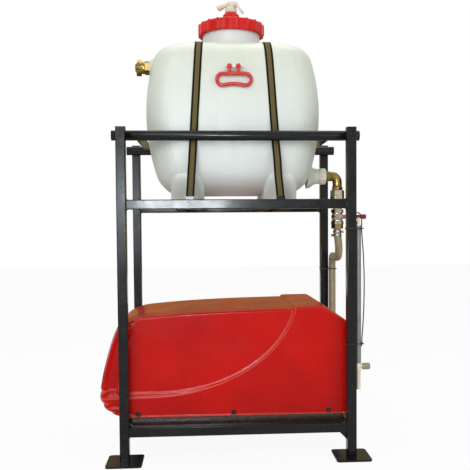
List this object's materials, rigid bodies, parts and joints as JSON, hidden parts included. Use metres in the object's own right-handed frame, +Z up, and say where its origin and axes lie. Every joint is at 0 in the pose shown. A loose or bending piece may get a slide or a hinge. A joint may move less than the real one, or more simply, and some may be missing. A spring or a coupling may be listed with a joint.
{
  "type": "sprayer stand",
  "caption": "Stationary sprayer stand: black square-tube frame with a strapped white tank above, a hooded red pump unit below and a valved suction line down one side.",
  "frame": {"origin": "centre of the footprint on the floor", "axes": "+X to the valve side, -Y towards the side with the tank's pull handle, +Z up"},
  "size_m": [1.2, 0.81, 2.0273],
  "materials": {
    "frame_paint": "satin powder coat",
    "black_plastic": "matte",
    "tank_plastic": "satin, slightly translucent",
    "basket_plastic": "matte",
    "lid_plastic": "semi-gloss",
    "black_rubber": "matte",
    "brown_rubber": "matte",
    "white_plastic": "semi-gloss",
    "handle_plastic": "semi-gloss",
    "strap_webbing": "woven",
    "zinc": "zinc plated",
    "brass": "cast and machined",
    "nickel": "nickel plated",
    "ball_chrome": "polished",
    "lever_red": "dipped",
    "hose_olive": "smooth with a spiral",
    "cream_plastic": "satin",
    "hose_grey": "cloudy",
    "tan_plastic": "matte",
    "cable_black": "satin",
    "hood_red": "high gloss",
    "motor_grey": "satin",
    "shaft_steel": "ground",
    "pump_alloy": "cast",
    "filter_plastic": "matte"
  },
  "bodies": {
    "stand": {"post_front_left": "frame_paint", "post_front_right": "frame_paint", "post_rear_left": "frame_paint", "post_rear_right": "frame_paint", "foot_plates": "frame_paint", "tube_caps": "black_plastic", "top_tube_front": "frame_paint", "top_tube_rear": "frame_paint", "mid_rail_front": "frame_paint", "mid_rail_rear": "frame_paint", "tank_bearers": "frame_paint", "low_rail_front": "frame_paint", "low_rail_rear": "frame_paint", "low_rails_side": "frame_paint", "unit_bearers": "frame_paint", "gussets": "frame_paint", "side_stops": "frame_paint", "strap_lugs": "frame_paint", "tank": "tank_plastic", "strainer_basket": "basket_plastic", "handle_bracket": "handle_plastic", "strap_left": "strap_webbing", "strap_right": "strap_webbing", "strap_buckles": "zinc", "strap_bolts": "zinc", "inlet_bulkhead": "brass", "inlet_coupling": "brass", "inlet_seal": "black_rubber", "outlet_nut": "white_plastic", "outlet_elbow": "brass", "union_fitting": "nickel", "valve_body": "nickel", "hose_tail": "brass", "hose_clamps": "zinc", "suction_hose": "hose_olive", "hood_elbow": "black_plastic", "cable_ties": "black_plastic", "dosing_hose": "hose_grey", "dosing_strainer": "cream_plastic", "dosing_tee": "cream_plastic", "level_cable": "cable_black", "hood": "hood_red", "base_pan": "black_plastic", "pan_pads": "black_rubber", "hood_screws": "black_plastic", "motor": "motor_grey", "pump": "pump_alloy", "suction_filter": "filter_plastic", "pressure_regulator": "brass"},
    "lid_slider": {"lid_gasket": "black_rubber"},
    "lid": {"tank_lid": "lid_plastic", "vent_gasket": "brown_rubber", "vent_tap_body": "white_plastic"},
    "vent_lever": {"vent_tap_lever": "white_plastic"},
    "handle": {"pull_handle": "handle_plastic"},
    "valve_lever": {"valve_lever": "lever_red", "valve_ball": "ball_chrome"},
    "dosing_knob": {"dosing_knob": "tan_plastic"},
    "drive": {"drive_shaft": "shaft_steel"},
    "regulator_knob": {"regulator_knob": "black_plastic"}
  },
  "joints": [
    {"name": "lid_lift", "type": "slide", "parent": "stand", "child": "lid_slider", "axis": [0, 0, 1], "range_m": [0, 0.02]},
    {"name": "lid_turn", "type": "hinge", "parent": "lid_slider", "child": "lid", "pos_m": [-0.007, 0, 1.9], "axis": [0, 0, 1], "range_deg": [0, 540]},
    {"name": "vent_lever_turn", "type": "hinge", "parent": "lid", "child": "vent_lever", "pos_m": [0.013, -0.023, 2.005], "axis": [0, -1, 0], "range_deg": [0, 90]},
    {"name": "handle_swing", "type": "hinge", "parent": "stand", "child": "handle", "pos_m": [-0.007, -0.264, 1.667], "axis": [-1, 0, 0], "range_deg": [0, 100]},
    {"name": "valve_turn", "type": "hinge", "parent": "stand", "child": "valve_lever", "pos_m": [0.474, -0.06, 1.028], "axis": [0, 1, 0], "range_deg": [0, 90]},
    {"name": "dosing_knob_turn", "type": "hinge", "parent": "stand", "child": "dosing_knob", "pos_m": [0.5283, -0.33, 0.388], "axis": [1, 0, 0], "range_deg": [0, 270]},
    {"name": "drive_spin", "type": "hinge", "parent": "stand", "child": "drive", "pos_m": [0, 0, 0.293], "axis": [1, 0, 0], "continuous": true},
    {"name": "regulator_turn", "type": "hinge", "parent": "stand", "child": "regulator_knob", "pos_m": [-0.145, 0, 0.45], "axis": [0, 0, 1], "range_deg": [-180, 180]}
  ],
  "couplings": [
    {"joint": "lid_lift", "follows": "lid_turn", "m_per_rad": 0.0015915}
  ]
}
